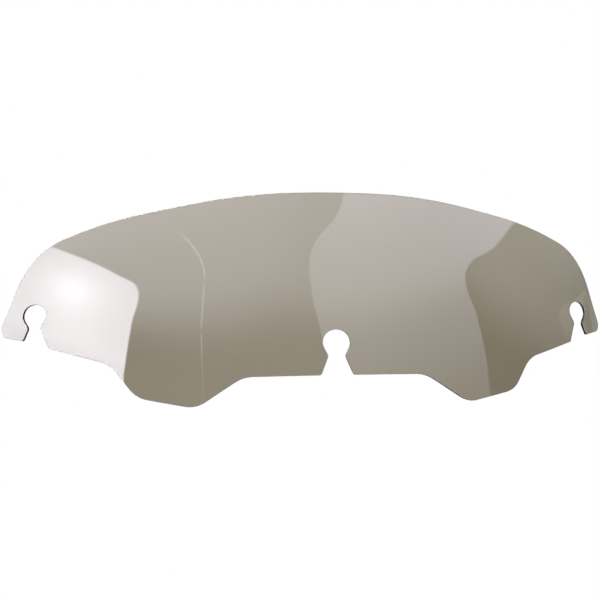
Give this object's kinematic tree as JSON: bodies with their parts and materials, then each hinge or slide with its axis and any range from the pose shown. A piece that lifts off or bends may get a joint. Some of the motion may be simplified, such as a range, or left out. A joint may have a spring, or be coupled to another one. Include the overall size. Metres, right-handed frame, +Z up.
{
  "type": "windshield screen",
  "caption": "Low tinted windshield screen for a motorcycle fairing: one formed 2.4 mm clear-plastic sheet with keyhole mounting slots in its lower edge.",
  "frame": {"origin": "centre of the underside of the part's box, on the surface it stands on", "axes": "+Z up, +X along the screen's width, -Y out of the outer convex face towards the front of the motorcycle, +Y to the rider; the screen stands on its two lower lobes and its two ears, leaning back about 38 degrees"},
  "size_m": [0.6106, 0.1406, 0.1676],
  "materials": {
    "tinted_acrylic": "polished see-through plastic with a light smoke tint, cut edges darker"
  },
  "bodies": {
    "root": {"windscreen_sheet": "tinted_acrylic"}
  },
  "joints": []
}
